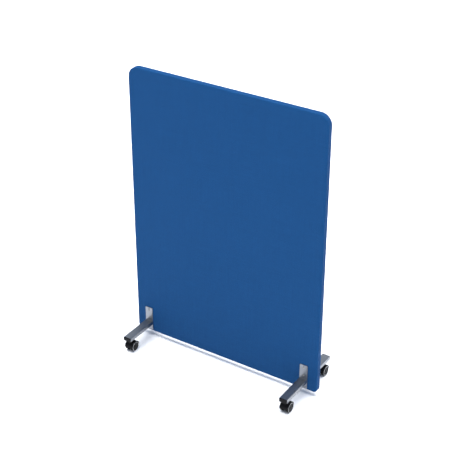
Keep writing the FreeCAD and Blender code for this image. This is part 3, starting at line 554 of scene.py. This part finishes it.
# %% Helpers for Geometry Nodes
def new_tree(name, sizes):
    """A geometry tree with a named input for each size.  Returns it with its input and output nodes."""
    tree = bpy.data.node_groups.new(name, "GeometryNodeTree")
    tree.interface.new_socket("Geometry", in_out="INPUT", socket_type="NodeSocketGeometry")
    for label, kind in sizes.items():
        tree.interface.new_socket(label, in_out="INPUT", socket_type=kind)
    tree.interface.new_socket("Geometry", in_out="OUTPUT", socket_type="NodeSocketGeometry")
    return tree, tree.nodes.new("NodeGroupInput").outputs, tree.nodes.new("NodeGroupOutput").inputs


def run_tree(name, tree, points, edges, sizes):
    """Run a geometry tree on points or a line, and keep the plain mesh that it makes."""
    guide = bpy.data.meshes.new(f"{name}_guide")
    guide.from_pydata(points, edges, [])
    holder = bpy.data.objects.new(f"{name}_guide", guide)
    bpy.context.scene.collection.objects.link(holder)
    modifier = holder.modifiers.new("repeat", "NODES")
    modifier.node_group = tree
    for socket in tree.interface.items_tree:
        if socket.name in sizes:
            modifier[socket.identifier] = sizes[socket.name]
    graph = bpy.context.evaluated_depsgraph_get()
    mesh = bpy.data.meshes.new_from_object(holder.evaluated_get(graph), depsgraph=graph)
    mesh.name = name
    bpy.data.objects.remove(holder)
    piece = bpy.data.objects.new(name, mesh)
    bpy.context.scene.collection.objects.link(piece)
    print(name, "has", len(mesh.polygons), "faces")
    return piece


def small_dome(tree, segments, rings, scale):
    """A low round shape, smooth shaded, stretched by a scale socket."""
    ball = add_node(tree, "GeometryNodeMeshUVSphere", feed={
        "Segments": segments, "Rings": rings, "Radius": 1.0})
    smooth = add_node(tree, "GeometryNodeSetShadeSmooth", feed={"Geometry": ball.outputs["Mesh"]})
    return add_node(tree, "GeometryNodeTransform", feed={
        "Geometry": smooth.outputs["Geometry"], "Scale": scale}).outputs["Geometry"]


def end_tree(tree, instances, material, result):
    """Make the instances real, give them their finish and put them out."""
    solid = add_node(tree, "GeometryNodeRealizeInstances", feed={"Geometry": instances})
    painted = add_node(tree, "GeometryNodeSetMaterial", feed={
        "Geometry": solid.outputs["Geometry"], "Material": material})
    tree.links.new(painted.outputs["Geometry"], result["Geometry"])


# %% Stitches round the panel's edge
def stitch_tree(material):
    """A slanting stitch at every pitch along a closed line."""
    tree, given, result = new_tree("stitches_along_seam", {
        "Pitch": "NodeSocketFloat", "Slant": "NodeSocketFloat", "Thread Size": "NodeSocketVector"})
    line = add_node(tree, "GeometryNodeMeshToCurve", feed={"Mesh": given["Geometry"]})
    spots = add_node(tree, "GeometryNodeCurveToPoints", mode="LENGTH", feed={
        "Curve": line.outputs["Curve"], "Length": given["Pitch"]})
    lean = add_node(tree, "ShaderNodeVectorMath", operation="SCALE", feed={
        0: spots.outputs["Tangent"], "Scale": given["Slant"]})
    across = add_node(tree, "ShaderNodeVectorMath", operation="ADD", feed={0: lean.outputs[0], 1: (0, 1, 0)})
    turn = add_node(tree, "FunctionNodeAlignRotationToVector", axis="Z", feed={"Vector": across.outputs[0]})
    stitch = small_dome(tree, 8, 5, given["Thread Size"])
    row = add_node(tree, "GeometryNodeInstanceOnPoints", feed={
        "Points": spots.outputs["Points"], "Instance": stitch, "Rotation": turn.outputs["Rotation"]})
    end_tree(tree, row.outputs["Instances"], material, result)
    return tree


sewing_thread = finish("blue_sewing_thread", (0.007, 0.045, 0.135), (0.013, 0.075, 0.215), LINES_UP, 0.00004,
                       (0.6, 0.75), Specular_IOR_Level=0.15)
STITCH_RADIUS, STITCH_HALF_LENGTH = 0.00034, 0.0016
seam_points = [spot - out * STITCH_RADIUS for spot, out in OUTLINE]
seam_points = [(spot.x, 0, spot.y) for spot in seam_points]
seam_line = [(index, (index + 1) % len(OUTLINE)) for index in range(len(OUTLINE))]
stitches = run_tree("seam_stitches", stitch_tree(sewing_thread), seam_points, seam_line, {
    "Pitch": 0.0033, "Slant": 0.45, "Thread Size": (STITCH_RADIUS, STITCH_RADIUS, STITCH_HALF_LENGTH)})
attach(stitches, "screen")


# %% Weld beads between arms and plates
def weld_tree(material):
    """A row of ripples, side by side along X, at every point."""
    tree, given, result = new_tree("rippled_welds", {
        "Ripples": "NodeSocketInt", "Pitch": "NodeSocketFloat", "Ripple Size": "NodeSocketVector",
        "Seed": "NodeSocketInt"})
    steps = maths(tree, "SUBTRACT", given["Ripples"], 1.0)
    start = maths(tree, "MULTIPLY", maths(tree, "MULTIPLY", steps, given["Pitch"]), -0.5)
    first = add_node(tree, "ShaderNodeCombineXYZ", feed={"X": start})
    pitch = add_node(tree, "ShaderNodeCombineXYZ", feed={"X": given["Pitch"]})
    line = add_node(tree, "GeometryNodeMeshLine", feed={
        "Count": given["Ripples"], "Start Location": first.outputs[0], "Offset": pitch.outputs[0]})
    size = add_node(tree, "FunctionNodeRandomValue", data_type="FLOAT", feed={
        "Min": 0.86, "Max": 1.0, "Seed": given["Seed"]})
    row = add_node(tree, "GeometryNodeInstanceOnPoints", feed={
        "Points": line.outputs["Mesh"], "Instance": small_dome(tree, 20, 12, given["Ripple Size"]),
        "Scale": size.outputs["Value"]})
    beads = add_node(tree, "GeometryNodeInstanceOnPoints", feed={
        "Points": given["Geometry"], "Instance": row.outputs["Instances"]})
    end_tree(tree, beads.outputs["Instances"], material, result)
    return tree


weld_places = []
for name in ("front_left", "front_right", "back_left", "back_right"):
    arm_low, arm_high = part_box(f"{name}_arm")
    plate_low, plate_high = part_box(f"{name}_plate")
    plate_face = plate_low.y if name.startswith("front") else plate_high.y
    for level in (arm_low.z, arm_high.z):
        weld_places.append(((arm_low.x + arm_high.x) / 2, plate_face, level))
welds = run_tree("rippled_weld_beads", weld_tree(FINISHES["tube_steel"]), weld_places, [], {
    "Ripples": 22, "Pitch": 0.0015, "Ripple Size": (0.0014, 0.0028, 0.0028), "Seed": 4})
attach(welds, "screen")
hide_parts("weld_beads")
print("welds at", len(weld_places), "places")
